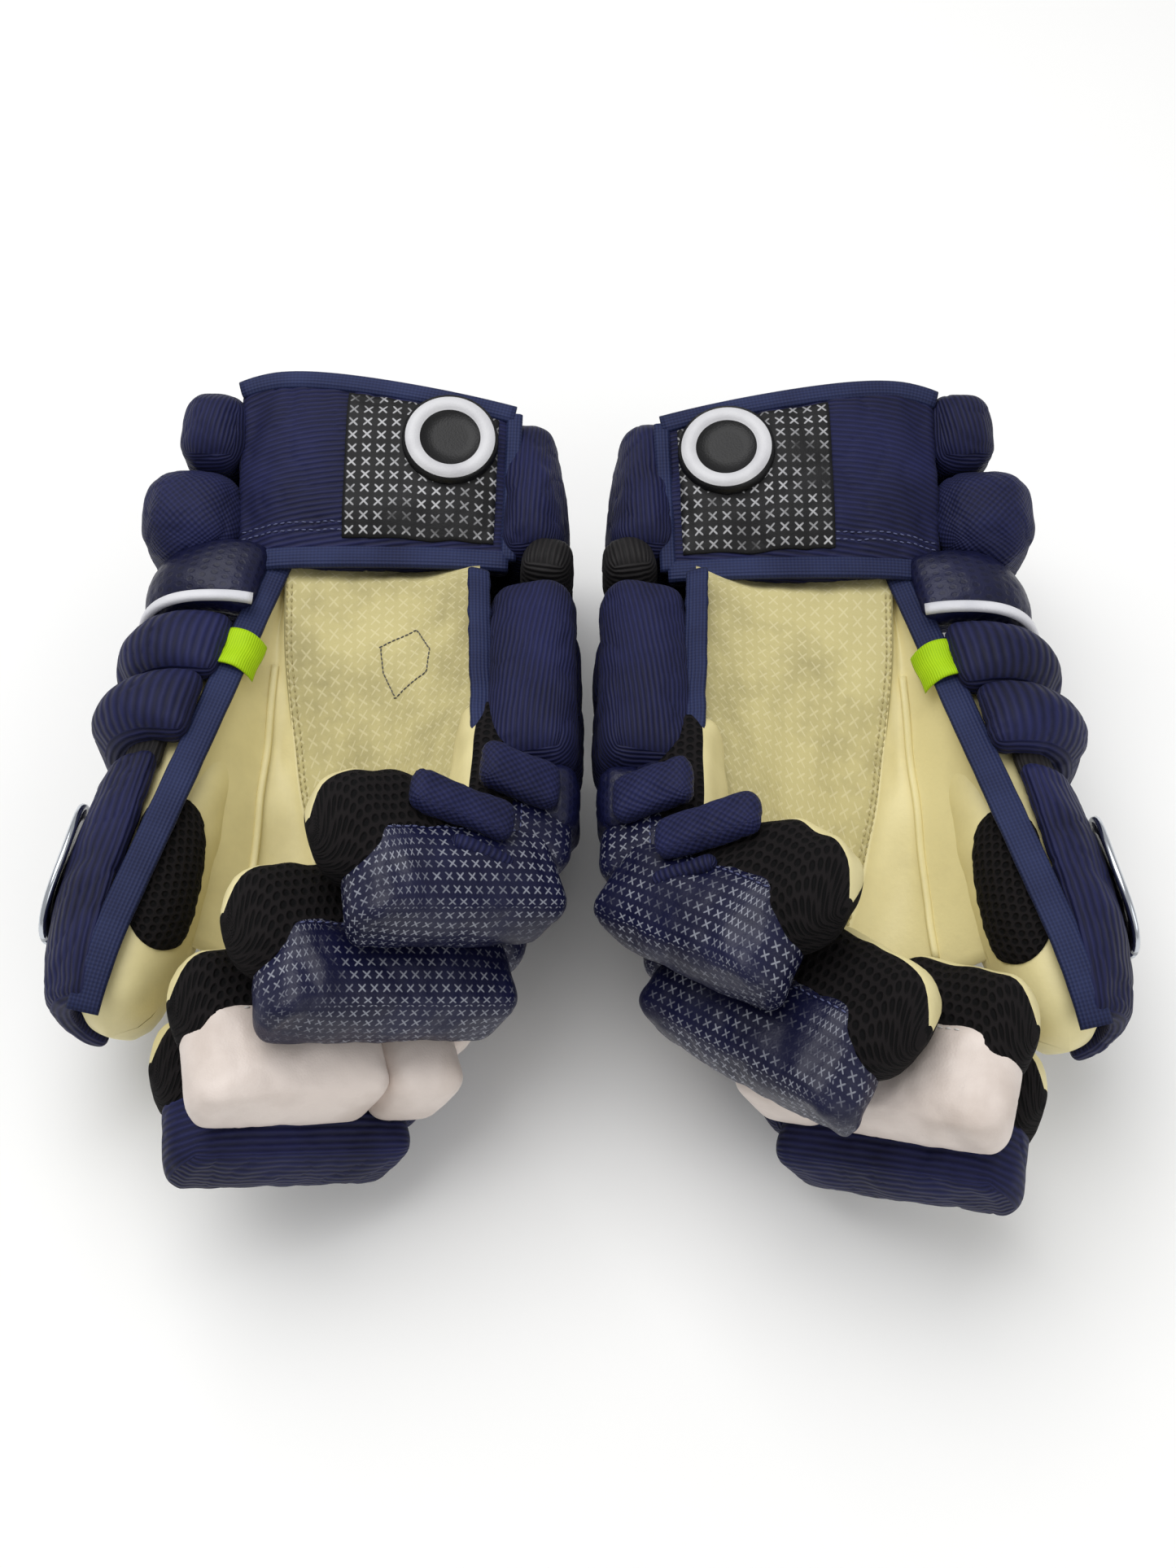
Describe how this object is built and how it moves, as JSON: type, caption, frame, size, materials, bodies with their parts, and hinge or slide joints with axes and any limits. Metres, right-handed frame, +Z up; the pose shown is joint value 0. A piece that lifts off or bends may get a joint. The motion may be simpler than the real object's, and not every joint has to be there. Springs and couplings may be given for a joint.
{
  "type": "hockey gloves",
  "caption": "Pair of padded ice hockey gloves lying palms up, with bending fingers and thumbs, a flexing cuff and cavities for the hands.",
  "frame": {"origin": "centre of the footprint of the pair's bounding box, on the surface that the gloves lie on", "axes": "+X from the right glove to the left glove, +Y from the fingers to the cuffs, +Z up out of the palms"},
  "size_m": [0.3582, 0.3014, 0.1407],
  "materials": {
    "palm_leather": "brushed synthetic suede, cream",
    "thumb_leather": "smooth synthetic leather, cream",
    "navy_fabric": "woven nylon, navy",
    "navy_coated": "embossed polyurethane, navy",
    "navy_printed": "printed polyurethane, navy with small grey crosses",
    "white_coated": "smooth polyurethane, white",
    "black_mesh": "open air mesh, black",
    "navy_binding": "woven tape, navy",
    "patch_weave": "woven patch, black"
  },
  "bodies": {
    "right_hand": {"right_palm": "palm_leather", "right_palm_binding": "navy_binding", "right_back_rolls": "navy_coated", "right_side_roll": "navy_fabric", "right_gussets": "black_mesh"},
    "right_cuff": {"right_cuff_panel": "navy_fabric", "right_cuff_patch": "patch_weave", "right_cuff_thumb_rolls": "navy_fabric", "right_cuff_little_roll": "navy_fabric", "right_cuff_back_rolls": "navy_fabric"},
    "right_thumb_base": {"right_thumb_roll": "navy_fabric", "right_thumb_gusset": "thumb_leather"},
    "right_thumb_tip": {"right_thumb_casing": "navy_fabric", "right_thumb_stall": "thumb_leather"},
    "right_index_base": {"right_index_base_pad": "navy_fabric", "right_index_base_stall": "black_mesh"},
    "right_index_tip": {"right_index_tip_pad": "navy_fabric", "right_index_tip_stall": "black_mesh"},
    "right_middle_base": {"right_middle_base_pad": "white_coated", "right_middle_base_stall": "black_mesh"},
    "right_middle_tip": {"right_middle_tip_pad": "white_coated", "right_middle_tip_stall": "black_mesh"},
    "right_ring_base": {"right_ring_base_pad": "navy_printed", "right_ring_base_stall": "black_mesh"},
    "right_ring_tip": {"right_ring_tip_pad": "navy_printed", "right_ring_tip_stall": "black_mesh"},
    "right_little_base": {"right_little_base_pad": "navy_printed", "right_little_base_stall": "black_mesh"},
    "right_little_tip": {"right_little_tip_pad": "navy_printed", "right_little_tip_stall": "black_mesh"},
    "left_hand": {"left_palm": "palm_leather", "left_palm_binding": "navy_binding", "left_back_rolls": "navy_coated", "left_side_roll": "navy_fabric", "left_gussets": "black_mesh"},
    "left_cuff": {"left_cuff_panel": "navy_fabric", "left_cuff_patch": "patch_weave", "left_cuff_thumb_rolls": "navy_fabric", "left_cuff_little_roll": "navy_fabric", "left_cuff_back_rolls": "navy_fabric"},
    "left_thumb_base": {"left_thumb_roll": "navy_fabric", "left_thumb_gusset": "thumb_leather"},
    "left_thumb_tip": {"left_thumb_casing": "navy_fabric", "left_thumb_stall": "thumb_leather"},
    "left_index_base": {"left_index_base_pad": "navy_fabric", "left_index_base_stall": "black_mesh"},
    "left_index_tip": {"left_index_tip_pad": "navy_fabric", "left_index_tip_stall": "black_mesh"},
    "left_middle_base": {"left_middle_base_pad": "white_coated", "left_middle_base_stall": "black_mesh"},
    "left_middle_tip": {"left_middle_tip_pad": "white_coated", "left_middle_tip_stall": "black_mesh"},
    "left_ring_base": {"left_ring_base_pad": "navy_printed", "left_ring_base_stall": "black_mesh"},
    "left_ring_tip": {"left_ring_tip_pad": "navy_printed", "left_ring_tip_stall": "black_mesh"},
    "left_little_base": {"left_little_base_pad": "navy_printed", "left_little_base_stall": "black_mesh"},
    "left_little_tip": {"left_little_tip_pad": "navy_printed", "left_little_tip_stall": "black_mesh"}
  },
  "joints": [
    {"name": "right_wrist", "type": "hinge", "parent": "right_hand", "child": "right_cuff", "pos_m": [-0.08803, 0.09273, 0.0664], "axis": [1, 0, 0], "range_deg": [-9, 9]},
    {"name": "right_thumb_root", "type": "hinge", "parent": "right_hand", "child": "right_thumb_base", "pos_m": [-0.14303, 0.05473, 0.0604], "axis": [0, 0, 1], "range_deg": [-8, 6]},
    {"name": "right_thumb_middle", "type": "hinge", "parent": "right_thumb_base", "child": "right_thumb_tip", "pos_m": [-0.14859, -0.00301, 0.0604], "axis": [0, 0, 1], "range_deg": [-4, 10]},
    {"name": "right_index_knuckle", "type": "hinge", "parent": "right_hand", "child": "right_index_base", "pos_m": [-0.07253, -0.06348, 0.02146], "axis": [-0.5142, -0.1282, -0.848], "range_deg": [-6, 6]},
    {"name": "right_index_middle", "type": "hinge", "parent": "right_index_base", "child": "right_index_tip", "pos_m": [-0.07948, -0.1099, 0.0327], "axis": [-0.5142, -0.1282, -0.848], "range_deg": [-36, 4]},
    {"name": "right_middle_knuckle", "type": "hinge", "parent": "right_hand", "child": "right_middle_base", "pos_m": [-0.05886, -0.04668, 0.04542], "axis": [-0.5142, -0.1282, -0.848], "range_deg": [-6, 6]},
    {"name": "right_middle_middle", "type": "hinge", "parent": "right_middle_base", "child": "right_middle_tip", "pos_m": [-0.0618, -0.09598, 0.05465], "axis": [-0.5142, -0.1282, -0.848], "range_deg": [-40, 3]},
    {"name": "right_ring_knuckle", "type": "hinge", "parent": "right_hand", "child": "right_ring_base", "pos_m": [-0.04519, -0.02987, 0.06938], "axis": [-0.5142, -0.1282, -0.848], "range_deg": [-6, 6]},
    {"name": "right_ring_middle", "type": "hinge", "parent": "right_ring_base", "child": "right_ring_tip", "pos_m": [-0.04351, -0.0777, 0.07559], "axis": [-0.5142, -0.1282, -0.848], "range_deg": [-46, 8]},
    {"name": "right_little_knuckle", "type": "hinge", "parent": "right_hand", "child": "right_little_base", "pos_m": [-0.03152, -0.01306, 0.09334], "axis": [-0.5142, -0.1282, -0.848], "range_deg": [-6, 6]},
    {"name": "right_little_middle", "type": "hinge", "parent": "right_little_base", "child": "right_little_tip", "pos_m": [-0.02825, -0.05501, 0.09769], "axis": [-0.5142, -0.1282, -0.848], "range_deg": [-46, 8]},
    {"name": "left_wrist", "type": "hinge", "parent": "left_hand", "child": "left_cuff", "pos_m": [0.08803, 0.08773, 0.0664], "axis": [1, 0, 0], "range_deg": [-9, 9]},
    {"name": "left_thumb_root", "type": "hinge", "parent": "left_hand", "child": "left_thumb_base", "pos_m": [0.14303, 0.04973, 0.0604], "axis": [0, 0, -1], "range_deg": [-8, 6]},
    {"name": "left_thumb_middle", "type": "hinge", "parent": "left_thumb_base", "child": "left_thumb_tip", "pos_m": [0.14859, -0.00801, 0.0604], "axis": [0, 0, -1], "range_deg": [-4, 10]},
    {"name": "left_index_knuckle", "type": "hinge", "parent": "left_hand", "child": "left_index_base", "pos_m": [0.07253, -0.06848, 0.02146], "axis": [-0.5142, 0.1282, 0.848], "range_deg": [-6, 6]},
    {"name": "left_index_middle", "type": "hinge", "parent": "left_index_base", "child": "left_index_tip", "pos_m": [0.08371, -0.11343, 0.03504], "axis": [-0.5142, 0.1282, 0.848], "range_deg": [-24, 4]},
    {"name": "left_middle_knuckle", "type": "hinge", "parent": "left_hand", "child": "left_middle_base", "pos_m": [0.05886, -0.05168, 0.04542], "axis": [-0.5142, 0.1282, 0.848], "range_deg": [-6, 6]},
    {"name": "left_middle_middle", "type": "hinge", "parent": "left_middle_base", "child": "left_middle_tip", "pos_m": [0.06922, -0.09898, 0.05885], "axis": [-0.5142, 0.1282, 0.848], "range_deg": [-24, 3]},
    {"name": "left_ring_knuckle", "type": "hinge", "parent": "left_hand", "child": "left_ring_base", "pos_m": [0.04519, -0.03487, 0.06938], "axis": [-0.5142, 0.1282, 0.848], "range_deg": [-6, 6]},
    {"name": "left_ring_middle", "type": "hinge", "parent": "left_ring_base", "child": "left_ring_tip", "pos_m": [0.04063, -0.08271, 0.07384], "axis": [-0.5142, 0.1282, 0.848], "range_deg": [-26, 8]},
    {"name": "left_little_knuckle", "type": "hinge", "parent": "left_hand", "child": "left_little_base", "pos_m": [0.03152, -0.01806, 0.09334], "axis": [-0.5142, 0.1282, 0.848], "range_deg": [-6, 6]},
    {"name": "left_little_middle", "type": "hinge", "parent": "left_little_base", "child": "left_little_tip", "pos_m": [0.02574, -0.05987, 0.09615], "axis": [-0.5142, 0.1282, 0.848], "range_deg": [-31, 8]},
    {"name": "pair_spread", "type": "slide", "parent": "right_hand", "child": "left_hand", "axis": [1, 0, 0], "range_m": [0, 0.15]}
  ]
}
